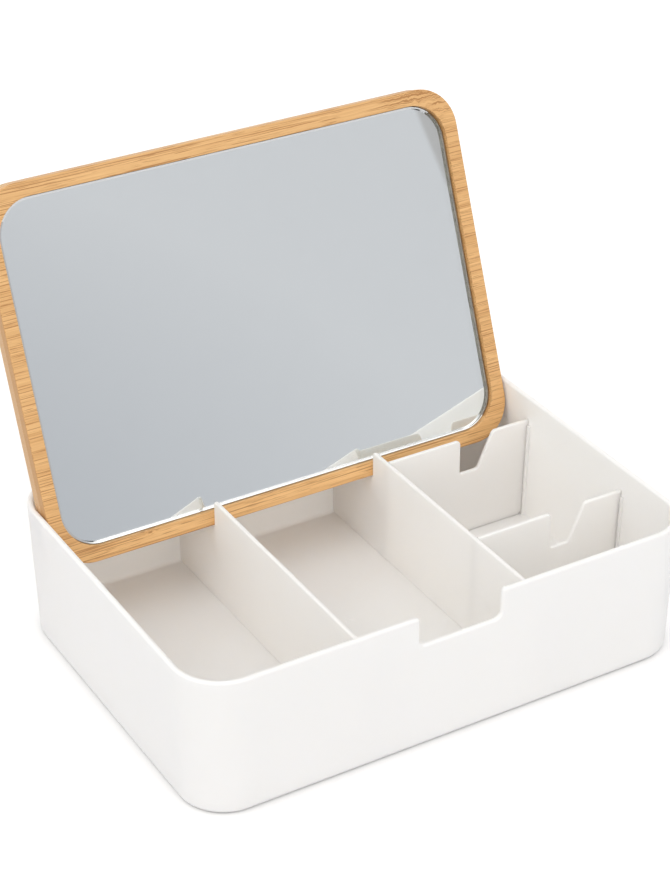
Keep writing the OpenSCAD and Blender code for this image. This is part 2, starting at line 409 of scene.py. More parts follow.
notch = block("notch", (-NOTCH_HALF, -100 * MM, NOTCH_Z), (NOTCH_HALF, -88 * MM, 90 * MM))
edit(notch)
pick("faces", lambda f: f.normal.z > 0.9)
bpy.ops.transform.resize(value=(NOTCH_SPREAD, 1, 1))
round_edges(lambda e: runs_along(e, 1) and level_at(NOTCH_Z)(e),
            reach(NOTCH_LOW_R, NOTCH_ANGLE), 8)
leave_edit()
combine(tray, notch, "DIFFERENCE")
edit(tray)
lips = round_edges(notch_lip, reach(NOTCH_TOP_R, NOTCH_ANGLE), 6)
leave_edit()
print("rounded", lips, "upper corners of the notch")

# %% [markdown]
# The rim is the edge that the hand meets, so it is rounded all round, in the notch as well. The
# edges to round are found by their place and by the angle between their faces, which leaves the
# small steps of the rounded corners alone.

# %% Round the rim
RIM_R = 1.3 * MM


def on_rim(edge):
    """A sharp edge of the rim, in the notch as well."""
    high = all(v.co.z > RIM_Z - SAME for v in edge.verts)
    in_notch = all(abs(v.co.x) < 26 * MM and v.co.y < FRONT_Y and v.co.z > NOTCH_Z - SAME
                   for v in edge.verts)
    return sharp(edge) and (high or in_notch)


edit(tray)
rim_edges = round_edges(on_rim, RIM_R, 5)
leave_edit()
print("rounded", rim_edges, "edges of the rim")

# %% [markdown]
# Where the plastic flowed into the mould, a small round mark is left in the middle of the floor.
# A shallow dimple with a soft edge is enough.

# %% Gate mark in the floor
GATE_R, GATE_DEPTH, CUTTER_H = 2.4 * MM, 0.25 * MM, 4 * MM
bpy.ops.mesh.primitive_cylinder_add(vertices=48, radius=GATE_R, depth=CUTTER_H,
                                    location=(0, 0, FLOOR_Z - GATE_DEPTH + CUTTER_H / 2))
gate = settle(bpy.context.object)
edit(gate)
round_edges(level_at(FLOOR_Z - GATE_DEPTH), 0.2 * MM, 3)
leave_edit()
combine(tray, gate, "DIFFERENCE")
smooth(tray)

# %% [markdown]
# ## The cross dividers
#
# Two loose walls stand in the right-hand bay. They are the same piece twice, so it is modelled
# once and copied. The top has a dip with one sloping side, and a tip remains at the tray's
# wall. The broad sides get soft edges, but not at the two ends, where the divider stands
# against the walls.

# %% Measures of a cross divider, and tests for its edges
DIP_DEPTH, DIP_FLOOR, DIP_RUN = 20 * MM, 11.1 * MM, 9 * MM  # the slope rises over this run
TIP_W, END_GAP, FOOT_CUT = 22 * MM, 0.1 * MM, 2.6 * MM
DIP_R, LIP_R, SIDE_R = 1.6 * MM, 2.4 * MM, 0.7 * MM
DIP_Z = TOP_Z - DIP_DEPTH
DIP_X = inner_wall_x(TOP_Z) - (TIP_W + DIP_RUN + DIP_FLOOR)
SLOPE_ANGLE = 90 + degrees(atan2(DIP_RUN, DIP_DEPTH))


def at_place(x, z):
    """A test for edges along Y that run through this place of the outline."""
    return lambda e: runs_along(e, 1) and all(
        abs(v.co.x - x) < 0.05 * MM and abs(v.co.z - z) < 0.05 * MM for v in e.verts)


def broad_side_edge(edge):
    """A sharp edge of a broad side, apart from the foot and the two ends."""
    return (sharp(edge) and max(v.co.z for v in edge.verts) > 10 * MM
            and min(v.co.x for v in edge.verts) < 129.5 * MM
            and max(v.co.x for v in edge.verts) > 48 * MM
            and any(abs(f.normal.y) > 0.9 for f in edge.link_faces))


print("dip from x", round(DIP_X / MM, 1), "with a slope of", round(SLOPE_ANGLE, 1), "degrees")

# %% [markdown]
# The divider starts as a block that planes trim to the leaning side wall and to the rounding at
# the floor. The dip is cut by a second block. Moving one of its upper edges gives the slope, and
# its lower edges are rounded before it cuts.

# %% Model one cross divider
cross = block("cross_divider", (LONG_X + LONG_HALF + END_GAP, -CROSS_HALF, FLOOR_Z),
              (TRAY_W / 2, CROSS_HALF, TOP_Z))
edit(cross)
slice_off((inner_wall_x(TOP_Z) - END_GAP, 0, TOP_Z), (cos(DRAFT), 0, -sin(DRAFT)))
slice_off((inner_wall_x(FLOOR_Z) - FOOT_CUT, 0, FLOOR_Z), (1, 0, -1))
leave_edit()
dip = block("dip", (DIP_X, -5 * MM, DIP_Z), (DIP_X + DIP_FLOOR, 5 * MM, TOP_Z + DIP_DEPTH))
edit(dip)
pick("edges", lambda e: runs_along(e, 1) and e.verts[0].co.x > DIP_X + 5 * MM
     and e.verts[0].co.z > TOP_Z)
bpy.ops.transform.translate(value=(2 * DIP_RUN, 0, 0))
round_edges(at_place(DIP_X, DIP_Z), DIP_R, 6)
round_edges(at_place(DIP_X + DIP_FLOOR, DIP_Z), reach(DIP_R, SLOPE_ANGLE), 6)
leave_edit()
combine(cross, dip, "DIFFERENCE")
edit(cross)
lips = round_edges(at_place(DIP_X, TOP_Z), LIP_R, 6)
lips += round_edges(at_place(DIP_X + DIP_FLOOR + DIP_RUN, TOP_Z), reach(LIP_R, SLOPE_ANGLE), 6)
edges = round_edges(broad_side_edge, SIDE_R, 4)
leave_edit()
print("rounded corners of the dip:", lips, "and edges of the broad sides:", edges)

# %% [markdown]
# The copy gets its own mesh, because each piece keeps its place in its mesh. Moving the points
# in edit mode leaves both objects at the origin.

# %% Place both cross dividers
cross.name = cross.data.name = "front_cross_divider"
only(cross)
bpy.ops.object.duplicate(linked=False)
second = bpy.context.object
second.name = second.data.name = "rear_cross_divider"
for piece, place in ((cross, CROSS_Y["front"]), (second, CROSS_Y["rear"])):
    edit(piece)
    bpy.ops.transform.translate(value=(0, place, 0))
    leave_edit()
    smooth(piece)

# %% [markdown]
# ## The lid
#
# The lid is bamboo board, twelve millimetres thick. Its front ply is a frame with an opening for
# the mirror, its back ply is whole. Both are modelled lying flat with the mirror side up, which
# makes every measure a plain one, and are then turned up into the slots. The frame is the space
# between two round-cornered outlines: the same number of points on both lets them be bridged.

# %% Frame, lying flat
LID_W, LID_H, LID_T, LID_R = 262.4 * MM, 186.2 * MM, 12 * MM, 21.2 * MM
OPENING_W, OPENING_H, OPENING_R = 247.4 * MM, 171.2 * MM, 19 * MM
PLY_Z = 6.5 * MM
SANDED_R, OPENING_EDGE_R = 0.8 * MM, 0.5 * MM


def thicken(height):
    """In edit mode, extrudes a flat sheet up or down into a closed board."""
    bpy.ops.mesh.select_all(action="SELECT")
    bpy.ops.mesh.extrude_region_move(TRANSFORM_OT_translate={"value": (0, 0, height)})
    bpy.ops.mesh.select_all(action="SELECT")
    bpy.ops.mesh.normals_make_consistent(inside=False)


def face_edge(inside):
    """A test for sharp edges of the frame's face, in the opening or around the outside."""
    def test(edge):
        in_opening = all(abs(v.co.x) < 125 * MM and abs(v.co.y) < 87 * MM for v in edge.verts)
        return level_at(LID_T)(edge) and in_opening == inside and sharp(edge)
    return test


frame_ply = rounded_sheet("lid_front_frame", LID_W, LID_H, LID_R, LID_T)
opening = rounded_sheet("opening", OPENING_W, OPENING_H, OPENING_R, LID_T)
only(frame_ply, opening)
bpy.ops.object.join()
edit(frame_ply)
bpy.ops.mesh.delete(type="ONLY_FACE")
bpy.ops.mesh.select_all(action="SELECT")
bpy.ops.mesh.bridge_edge_loops()
thicken(PLY_Z - LID_T)
inner = round_edges(face_edge(inside=True), OPENING_EDGE_R, 2)
outer = round_edges(face_edge(inside=False), SANDED_R, 4)
leave_edit()
print("frame edges: opening", inner, "outside", outer)

# %% [markdown]
# The back ply is the same outline without an opening. Its back edge is sanded round as the
# frame's outer edge is, and where the plies meet the edge stays crisp, as a glued joint does.

# %% Panel, lying flat
panel = rounded_sheet("lid_back_panel", LID_W, LID_H, LID_R, PLY_Z)
edit(panel)
thicken(-PLY_Z)
round_edges(level_at(0), SANDED_R, 4)
leave_edit()
print("panel:", len(panel.data.polygons), "faces")

# %% [markdown]
# The mirror is three-millimetre glass, silvered on its back, with ground edges and a small
# chamfer along the front. It lies about two millimetres below the frame's face. The silvering is
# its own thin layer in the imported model, so the glass ends a hair above it.

# %% Glass, lying flat
GLASS_LOW, GLASS_HIGH = 6.92 * MM, 9.9 * MM
PANE_W, PANE_H, PANE_R, CHAMFER = 246.6 * MM, 170.4 * MM, 18.6 * MM, 0.9 * MM
glass = rounded_sheet("mirror_pane", PANE_W, PANE_H, PANE_R, GLASS_HIGH)
edit(glass)
thicken(GLASS_LOW - GLASS_HIGH)
chamfered = round_edges(level_at(GLASS_HIGH), CHAMFER, 1)
leave_edit()
print("glass chamfer:", chamfered, "edges")

# %% [markdown]
# The lid leans back by a little over twenty-one degrees. Its foot's front edge is the line that
# it turns about, so each piece first moves until that edge lies on the X axis, turns about it,
# and then moves to the slots. The turn is given its centre, because without a window the
# operator would not know where it is.

# %% Stand the lid's pieces in the slots
for piece, node in ((frame_ply, "lid_frame"), (panel, "lid_panel"), (glass, "mirror_glass")):
    edit(piece)
    bpy.ops.transform.translate(value=(0, LID_H / 2, -LID_T))
    bpy.ops.transform.rotate(value=-(pi / 2 - LID_LEAN), orient_axis="X", center_override=(0, 0, 0))
    bpy.ops.transform.translate(value=LID_FOOT)
    leave_edit()
    smooth(piece, 30.0)
    tops = max(v.co.z for v in piece.data.vertices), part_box(node)[1][2]
    print("tops of", piece.name, "and", node, "in mm:", [round(top / MM, 2) for top in tops])

# %% [markdown]
# ## Helpers for finishes
#
# A finish is a small tree of nodes. Building one by hand means adding nodes, setting their
# sockets and drawing links, and these helpers do one such step each. Any value may be a plain
# number or colour, or another node's output.

# %% Nodes for numbers, colours and patterns
def feed(tree, socket, value):
    """Gives a socket a fixed value or links another node's output to it."""
    if isinstance(value, bpy.types.NodeSocket):
        tree.links.new(value, socket)
    else:
        socket.default_value = value


def fill(tree, node, **values):
    """Feeds a node's inputs by their names, with base_color for Base Color."""
    for label, value in values.items():
        feed(tree, node.inputs[label.replace("_", " ").title().replace("Ior", "IOR")], value)


def calc(tree, operation, *values, clamp=False):
    """A Math node on numbers and outputs of other nodes."""
    made = tree.nodes.new("ShaderNodeMath")
    made.operation = operation
    made.use_clamp = clamp
    for socket, value in zip(made.inputs, values):
        feed(tree, socket, value)
    return made.outputs[0]


def ramp(tree, value, low, high, to_low=0.0, to_high=1.0):
    """A smooth step of a value from one range to another."""
    made = tree.nodes.new("ShaderNodeMapRange")
    made.interpolation_type = "SMOOTHSTEP"
    fill(tree, made, value=value, from_min=low, from_max=high, to_min=to_low, to_max=to_high)
    return made.outputs["Result"]


def blend(tree, share, first, second, kind="MIX"):
    """Mixes two colours."""
    made = tree.nodes.new("ShaderNodeMix")
    made.data_type = "RGBA"
    made.blend_type = kind
    fill(tree, made, factor=share, a=first, b=second)
    return made.outputs["Result"]


def stretch(tree, vector, scale):
    """The same coordinates, stretched along their axes."""
    made = tree.nodes.new("ShaderNodeVectorMath")
    made.operation = "MULTIPLY"
    feed(tree, made.inputs[0], vector)
    made.inputs[1].default_value = scale
    return made.outputs["Vector"]


def noise(tree, vector, scale, detail=2.0, roughness=0.5):
    """A cloudy pattern between 0 and 1; the scale says how many clouds lie in a metre."""
    made = tree.nodes.new("ShaderNodeTexNoise")
    fill(tree, made, vector=vector, scale=scale, detail=detail, roughness=roughness)
    return made.outputs["Fac"]


def piece_coordinates(tree):
    """Places on the piece, in metres."""
    return tree.nodes.new("ShaderNodeTexCoord").outputs["Object"]


def split(tree, vector):
    """The three numbers of a vector."""
    made = tree.nodes.new("ShaderNodeSeparateXYZ")
    feed(tree, made.inputs["Vector"], vector)
    return made.outputs


def coloured(tree, kind, colour):
    """A shader that needs nothing but a colour."""
    made = tree.nodes.new("ShaderNode" + kind)
    feed(tree, made.inputs["Color"], colour)
    return made.outputs[0]


def mix_shaders(tree, share, first, second, output):
    """Shows the first shader where the share is 0 and the second where it is 1."""
    made = tree.nodes.new("ShaderNodeMixShader")
    feed(tree, made.inputs["Fac"], share)
    tree.links.new(first, made.inputs[1])
    tree.links.new(second, made.inputs[2])
    tree.links.new(made.outputs["Shader"], output.inputs["Surface"])


print("helpers for nodes are ready")

# %% [markdown]
# A finish that several pieces share is made once, as a group of shader nodes. A group only gives
# colours, masks and heights. The shader itself stays outside, where the values that are the same
# all over a surface are set on its own sockets.

# %% Groups and materials
FLOAT, COLOUR = "NodeSocketFloat", "NodeSocketColor"


def new_group(name, inputs, outputs):
    """An empty group with its sockets, and its two ends."""
    group = bpy.data.node_groups.new(name, "ShaderNodeTree")
    for label, kind, value in inputs:
        socket = group.interface.new_socket(label, in_out="INPUT", socket_type=kind)
        socket.default_value = value
    for label, kind in outputs:
        group.interface.new_socket(label, in_out="OUTPUT", socket_type=kind)
    return group, group.nodes.new("NodeGroupInput"), group.nodes.new("NodeGroupOutput")


def use_group(tree, group, **values):
    """Places a group in a material, with values for its inputs."""
    made = tree.nodes.new("ShaderNodeGroup")
    made.node_tree = group
    fill(tree, made, **values)
    return made


def new_material(name, **values):
    """A material with a Principled shader whose plain values are set by name."""
    material = bpy.data.materials.new(name)
    material.use_nodes = True
    shader = material.node_tree.nodes["Principled BSDF"]
    fill(material.node_tree, shader, **values)
    return material, material.node_tree, shader


def raise_surface(tree, shader, height, distance, strength):
    """Feeds a height to the shader as a bump of this depth."""
    made = tree.nodes.new("ShaderNodeBump")
    fill(tree, made, height=height, distance=distance, strength=strength)
    tree.links.new(made.outputs["Normal"], shader.inputs["Normal"])


def wear(tree, shader, skin, distance, strength):
    """Takes the shader's colour, roughness and relief from a group placed in the material."""
    fill(tree, shader, base_color=skin.outputs["Colour"], roughness=skin.outputs["Roughness"])
    raise_surface(tree, shader, skin.outputs["Height"], distance, strength)


def finish_with(piece, *materials):
    """Gives the piece these materials and no others."""
    piece.data.materials.clear()
    for material in materials:
        piece.data.materials.append(material)


print("helpers for finishes are ready")

# %% [markdown]
# ## Moulded plastic
#
# The tray and its cross dividers are satin white plastic. The mould leaves a very fine grain,
# the gloss varies slightly with the polish of the steel, and large walls are never perfectly
# flat. Noise at three sizes gives all of that, and keeps the white from looking like paper.
# Light also goes a few millimetres into such plastic and comes out beside the place where it
# went in, which softens the shades in the corners.

# %% White moulded plastic
WARM_TINT = (0.80, 0.76, 0.71, 1)
group, ends_in, ends_out = new_group(
    "moulded_plastic",
    [("Colour", COLOUR, (0.8, 0.8, 0.8, 1))],
    [("Colour", COLOUR), ("Roughness", FLOAT), ("Height", FLOAT)],
)
place = piece_coordinates(group)
cloud = noise(group, place, 24.0, 3.0)
polish = noise(group, place, 90.0, 4.0, 0.6)
grain = noise(group, place, 3200.0, 2.0, 0.6)
shade = blend(group, ramp(group, cloud, 0.35, 0.65, 0.0, 0.03), ends_in.outputs["Colour"],
              WARM_TINT)
gloss = ramp(group, polish, 0.3, 0.7, 0.33, 0.45)
waviness = noise(group, place, 28.0, 1.0)
height = calc(group, "MULTIPLY_ADD", waviness, 6.0, grain)
fill(group, ends_out, colour=shade, roughness=gloss, height=height)
moulded_plastic = group
print("plastic group has", len(group.nodes), "nodes")

# %% [markdown]
# The tray and the cross dividers are moulded from the same plastic. The dividers come from
# another mould and batch, so their white is a trace lighter.

# %% Plastic on the tray and its dividers
SCATTER = 5 * MM


def plastic(name, colour):
    """Satin plastic of this colour, which lets light in a little."""
    material, tree, shader = new_material(
        name, specular_ior_level=0.45, ior=1.5, subsurface_weight=0.7,
        subsurface_radius=(1.0, 0.97, 0.92), subsurface_scale=SCATTER)
    skin = use_group(tree, moulded_plastic, colour=colour)
    wear(tree, shader, skin, 0.012 * MM, 0.6)
    return material


tray_white = plastic("tray_white", (0.957, 0.932, 0.904, 1))
divider_white = plastic("divider_white", (0.96, 0.934, 0.903, 1))
finish_with(tray, tray_white)
finish_with(cross, divider_white)
finish_with(second, divider_white)
print("plastic on", tray.name, cross.name, second.name)

# %% [markdown]
# ## Bamboo board
#
# Bamboo board is glued up from strips a few millimetres wide that run along the lid's width.
# Each strip has its own tone, thin dark fibres run along it, and here and there a strip shows a
# knot, where the fibres wave. A wood texture node has rings and would look like pine, so the
# pattern is built from the board's own structure: strips, fibres, glue lines and knots. The
# coordinates are turned into the lid's own flat ones by a Mapping node: X along the grain, Y up
# from the lid's foot and Z out of its face.

# %% Coordinates that lie flat on the lid
group, ends_in, ends_out = new_group(
    "bamboo_board",
    [("Light", COLOUR, (0.8, 0.5, 0.25, 1)), ("Dark", COLOUR, (0.5, 0.3, 0.12, 1)),
     ("Fibre", COLOUR, (0.3, 0.12, 0.03, 1)), ("End", COLOUR, (0.6, 0.4, 0.2, 1)),
     ("Offset", FLOAT, 0.0)],
    [("Colour", COLOUR), ("Roughness", FLOAT), ("Height", FLOAT)],
)
source = group.nodes.new("ShaderNodeTexCoord")
flat = group.nodes.new("ShaderNodeMapping")
flat.vector_type = "TEXTURE"
fill(group, flat, vector=source.outputs["Object"], location=LID_FOOT,
     rotation=(pi / 2 - LID_LEAN, 0, 0))
along, up, out = split(group, flat.outputs["Vector"])
print("the board's coordinates start at", [round(value / MM, 1) for value in LID_FOOT], "mm")

# %% [markdown]
# Knots come first, because everything else bends round them. A knot is an oval area, strongest in
# its middle. In it a noise moves the height on the lid up and down, and all later patterns read
# the moved height. A second, slow noise does the same over the whole board, a little.

# %% Knots and waving fibres
KNOTS = (  # place on the lid, half width and half height, in metres; the last one has a dark eye
    (0.113, 0.178, 0.024, 0.015),
    (-0.0806, 0.0063, 0.006, 0.003),
)
KNOT_BEND, BOARD_BEND = 4.5 * MM, 1.8 * MM
knot = None
for knot_x, knot_y, half_x, half_y in KNOTS:
    away_x = calc(group, "DIVIDE", calc(group, "SUBTRACT", along, knot_x), half_x)
    away_y = calc(group, "DIVIDE", calc(group, "SUBTRACT", up, knot_y), half_y)
    away = calc(group, "SQRT", calc(group, "MULTIPLY_ADD", away_x, away_x,
                                    calc(group, "MULTIPLY", away_y, away_y)))
    near = ramp(group, away, 0.3, 1.3, 1.0, 0.0)
    knot = near if knot is None else calc(group, "MAXIMUM", knot, near)
eye = ramp(group, away, 0.12, 0.24, 1.0, 0.0)
wave = noise(group, stretch(group, flat.outputs["Vector"], (1.0, 0.7, 0.7)), 300.0, 3.0, 0.55)
wave = calc(group, "MULTIPLY", calc(group, "SUBTRACT", wave, 0.5), knot)
drift = noise(group, stretch(group, flat.outputs["Vector"], (1.0, 3.0, 3.0)), 9.0, 2.0)
up = calc(group, "MULTIPLY_ADD", wave, KNOT_BEND, up)
up = calc(group, "MULTIPLY_ADD", calc(group, "SUBTRACT", drift, 0.5), BOARD_BEND, up)
print("knots:", len(KNOTS))

# %% [markdown]
# The strips are the cells of a one-dimensional Voronoi texture over that height. Each cell has a
# random colour, whose red part serves as the strip's tone, and the distance to the cell's edge
# gives a thin dark glue line.

# %% Strips and glue lines
STRIP_W = 4.8 * MM
count = calc(group, "MULTIPLY_ADD", up, 1 / STRIP_W, ends_in.outputs["Offset"])


def strip_texture(feature):
    """Strips about one unit wide, not all of the same width."""
    made = group.nodes.new("ShaderNodeTexVoronoi")
    made.voronoi_dimensions = "1D"
    made.feature = feature
    fill(group, made, w=count, scale=1.0, randomness=0.7)
    return made


strips = strip_texture("F1")
tone = group.nodes.new("ShaderNodeSeparateColor")
group.links.new(strips.outputs["Color"], tone.inputs["Color"])
strip_edges = strip_texture("DISTANCE_TO_EDGE")
glue = ramp(group, strip_edges.outputs["Distance"], 0.015, 0.045, 1.0, 0.0)
print("strips over the lid's height:", round(LID_H / STRIP_W))

# %% [markdown]
# Fibres are noise that is drawn out along the grain. Soft streaks of two widths change the tone,
# and crisp dark lines of two lengths lie over them. The three numbers of each stretch say how
# fine the pattern is along the grain, up the lid and through the board.

# %% Fibres
bent = group.nodes.new("ShaderNodeCombineXYZ")
for socket, value in zip(bent.inputs, (along, up, out)):
    group.links.new(value, socket)
bent = bent.outputs["Vector"]
broad = noise(group, stretch(group, bent, (12.0, 620.0, 620.0)), 1.0, 2.0, 0.6)
fine = noise(group, stretch(group, bent, (50.0, 1900.0, 1900.0)), 1.0, 2.0, 0.6)
long_line = noise(group, stretch(group, bent, (14.0, 1700.0, 1700.0)), 1.0, 0.0)
short_line = noise(group, stretch(group, bent, (60.0, 2300.0, 2300.0)), 1.0, 1.0, 0.6)
short_line = calc(group, "MULTIPLY_ADD", knot, 0.08, short_line)
line = calc(group, "MAXIMUM", ramp(group, long_line, 0.61, 0.68),
            ramp(group, short_line, 0.61, 0.68))
print("noise nodes in the board:", sum(node.type == "TEX_NOISE" for node in group.nodes))

# %% [markdown]
# All of these add up to one level between the light and the dark colour of the board. The dark
# lines and the knot's eye then take the fibres' own colour.

# %% Tone of the board
STRIP_SHARE, SOFT_SHARE, GLUE_SHARE, KNOT_SHARE, LINE_SHARE = 0.34, 0.9, 0.35, 0.06, 0.72
level = calc(group, "MULTIPLY_ADD", tone.outputs["Red"], STRIP_SHARE, 0.20)
level = calc(group, "MULTIPLY_ADD", calc(group, "SUBTRACT", broad, 0.5), SOFT_SHARE, level)
level = calc(group, "MULTIPLY_ADD", calc(group, "SUBTRACT", fine, 0.5), SOFT_SHARE, level)
level = calc(group, "MULTIPLY_ADD", glue, GLUE_SHARE, level)
level = calc(group, "MULTIPLY_ADD", knot, KNOT_SHARE, level, clamp=True)
board = blend(group, level, ends_in.outputs["Light"], ends_in.outputs["Dark"])
line = calc(group, "MAXIMUM", line, eye)
board = blend(group, calc(group, "MULTIPLY", line, LINE_SHARE), board, ends_in.outputs["Fibre"])
print("the board's tone takes", len(group.nodes), "nodes")

# %% [markdown]
# The cut ends on the left and the right of the lid show the fibres as dots, and take up more
# lacquer. They are found by the direction that the surface faces and by their place.

# %% Cut ends, gloss and relief
facing = split(group, source.outputs["Normal"])
cut = ramp(group, calc(group, "ABSOLUTE", facing["X"]), 0.55, 0.9)
cut = calc(group, "MULTIPLY", cut, ramp(group, calc(group, "ABSOLUTE", along), 0.1245, 0.128))
dots = noise(group, stretch(group, bent, (60.0, 1500.0, 1500.0)), 1.0, 2.0)
ends = blend(group, ramp(group, dots, 0.42, 0.68, 0.0, 0.55), ends_in.outputs["End"],
             ends_in.outputs["Dark"])
board = blend(group, calc(group, "MULTIPLY", cut, 0.85), board, ends)
gloss = ramp(group, fine, 0.3, 0.7, 0.40, 0.56)
height = calc(group, "MULTIPLY_ADD", line, -0.8, calc(group, "MULTIPLY", fine, 0.5))
height = calc(group, "MULTIPLY_ADD", glue, -0.6, height)
fill(group, ends_out, colour=board, roughness=gloss, height=height)
bamboo_board = group
print("bamboo group has", len(group.nodes), "nodes")

# %% [markdown]
# The two plies get different colours: the front one is warm and golden, the back one is a
# little paler and more olive where its edge shows. A clear satin lacquer lies over both, which
# is what the coat does.

# %% Bamboo on the frame and the panel
def bamboo(name, light, dark, fibre, end, offset):
    """Lacquered bamboo board; the offset says which strips of the pattern it is cut from."""
    material, tree, shader = new_material(name, specular_ior_level=0.4, coat_weight=0.12,
                                          coat_roughness=0.3)
    board = use_group(tree, bamboo_board, light=light, dark=dark, fibre=fibre, end=end,
                      offset=offset)
    wear(tree, shader, board, 0.05 * MM, 0.5)
    return material


finish_with(frame_ply, bamboo(
    "bamboo_front", light=(0.88, 0.54, 0.235, 1), dark=(0.61, 0.31, 0.105, 1),
    fibre=(0.38, 0.15, 0.035, 1), end=(0.58, 0.32, 0.13, 1), offset=3.37))
finish_with(panel, bamboo(
    "bamboo_back", light=(0.92, 0.60, 0.28, 1), dark=(0.68, 0.37, 0.13, 1),
    fibre=(0.28, 0.12, 0.035, 1), end=(0.70, 0.45, 0.25, 1), offset=17.9))
print("bamboo on", frame_ply.name, panel.name)

# %% [markdown]
# ## Mirror glass
#
# The pane is clear float glass, made by a Principled shader that lets light through. Light on its
# way between the silvering and the tray passes the pane as if it were thin, so that the mirror
# throws light down into the bays. A path through real glass to a lamp is hard to find by chance,
# and the plain way through is found every time.

# %% Clear glass
clear, tree, shader = new_material("clear_glass", base_color=(0.98, 0.985, 0.98, 1), roughness=0.0,
                                   ior=1.52, transmission_weight=1.0)
raise_surface(tree, shader, noise(tree, piece_coordinates(tree), 7.0, 1.0), 0.002 * MM, 0.2)
passing = coloured(tree, "BsdfTransparent", (0.95, 0.965, 0.96, 1))
path = tree.nodes.new("ShaderNodeLightPath")
after_diffuse = calc(tree, "GREATER_THAN", path.outputs["Diffuse Depth"], 0.5)
plain_pass = calc(tree, "MAXIMUM", path.outputs["Is Shadow Ray"], after_diffuse)
mix_shaders(tree, plain_pass, shader.outputs["BSDF"], passing, tree.nodes["Material Output"])
print("clear glass passes light in", len(tree.nodes), "nodes")

# %% [markdown]
# The pane's edges are ground: rough, grey and speckled, and they show twice, once themselves and
# once in the silvering. So the faces at the edge get a second material, with a fine speckle and
# a coarser smear over it. Its dark, warm browns are partly painted shade and painted reflection
# of the bamboo wall around the edge.

# %% Ground edge
ground, tree, shader = new_material("ground_edge_and_painted_shade", specular_ior_level=0.5)
place = piece_coordinates(tree)
speckle = noise(tree, place, 1500.0, 3.0, 0.7)
smear = noise(tree, place, 220.0, 2.0, 0.6)
# Painted shade and reflection: the warm browns stand in part for the bamboo wall around the edge.
colour = blend(tree, ramp(tree, speckle, 0.40, 0.66), (0.44, 0.42, 0.38, 1),
               (0.20, 0.165, 0.135, 1))
colour = blend(tree, ramp(tree, smear, 0.35, 0.7, 0.0, 0.6), colour, (0.52, 0.48, 0.41, 1))
fill(tree, shader, base_color=colour, roughness=ramp(tree, speckle, 0.3, 0.7, 0.45, 0.75))
raise_surface(tree, shader, speckle, 0.05 * MM, 0.7)
print("ground edge has", len(tree.nodes), "nodes")

# %% [markdown]
# The silvering behind the pane is a metal that reflects nearly everything, and the glass in front
# takes a little of that away twice. It keeps its imported shape, a thin layer. On the pane, the
# faces around its edge are ground. The chamfer on the right gets the ground finish too, a dull
# line there that is painted shade of the bamboo wall it faces; the other chamfers stay clear glass.

# %% Silvering, and which faces are ground
silver, tree, shader = new_material("silvering", metallic=1.0)
tarnish = noise(tree, piece_coordinates(tree), 40.0, 3.0)
colour = blend(tree, ramp(tree, tarnish, 0.45, 0.8, 0.0, 0.5), (0.93, 0.94, 0.945, 1),
               (0.915, 0.925, 0.93, 1))
fill(tree, shader, base_color=colour, roughness=ramp(tree, tarnish, 0.4, 0.8, 0.0, 0.012))

finish_with(glass, clear, ground)
for face in glass.data.polygons:
    level = abs(face.normal.dot(LID_BACK))
    # Painted shade: the right chamfer takes the dull ground finish, for the bamboo wall that it
    # faces.
    on_side, right_chamfer_painted_dull = level < 0.3, face.normal.x > 0.45 and level < 0.9
    face.material_index = 1 if on_side or right_chamfer_painted_dull else 0
finish_with(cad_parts["mirror_backing"], silver)
print("ground faces:", sum(face.material_index for face in glass.data.polygons))

# %% [markdown]
# ## Hidden pieces
#
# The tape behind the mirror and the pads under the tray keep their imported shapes, which are right
# as they are. They still get a finish, because a reader who lifts the lid or turns the tray over
# sees them: foam with small pores, and soft rubber with a dull skin.

# %% Tape and anti-slip pads
foam, tree, shader = new_material("foam_tape", specular_ior_level=0.2, roughness=0.9)
pores = noise(tree, piece_coordinates(tree), 2600.0, 3.0, 0.7)
fill(tree, shader, base_color=blend(tree, ramp(tree, pores, 0.4, 0.7), (0.80, 0.79, 0.76, 1),
                                    (0.66, 0.65, 0.62, 1)))
raise_surface(tree, shader, pores, 0.06 * MM, 0.8)
finish_with(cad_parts["mirror_tape"], foam)

rubber, tree, shader = new_material("pad_rubber", specular_ior_level=0.35)
place = piece_coordinates(tree)
skin = noise(tree, place, 1200.0, 3.0, 0.6)
bloom = noise(tree, place, 120.0, 2.0)
colour = blend(tree, ramp(tree, bloom, 0.35, 0.7, 0.0, 0.7), (0.56, 0.56, 0.55, 1),
               (0.64, 0.63, 0.61, 1))
fill(tree, shader, base_color=colour, roughness=ramp(tree, skin, 0.3, 0.7, 0.55, 0.78))
raise_surface(tree, shader, skin, 0.03 * MM, 0.6)
finish_with(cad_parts["feet"], rubber)
print("tape and pads finished")

# %% [markdown]
# ## Floor
#
# The object stands on a plain white table. The floor is white to the camera wherever no shadow
# falls on it, which comes from a little light of its own that only the camera sees. That light
# fades within about a centimetre of the tray, as measured by an Ambient Occlusion node, and this
# paints a soft shadow at the tray's foot. All other rays meet a plain pale floor.

# %% White table
PAINTED_SHADOW_REACH, OWN_LIGHT = 12 * MM, 0.34
bpy.ops.mesh.primitive_plane_add(size=8, location=(0, 0, 0))
floor = bpy.context.object
floor.name = "floor"
edit(floor)
bpy.ops.mesh.subdivide(number_cuts=3)
leave_edit()
material = bpy.data.materials.new("white_table")
material.use_nodes = True
tree = material.node_tree
tree.nodes.clear()
path = tree.nodes.new("ShaderNodeLightPath")
seen = coloured(tree, "BsdfDiffuse", (0.78, 0.78, 0.78, 1))
glow = tree.nodes.new("ShaderNodeEmission")
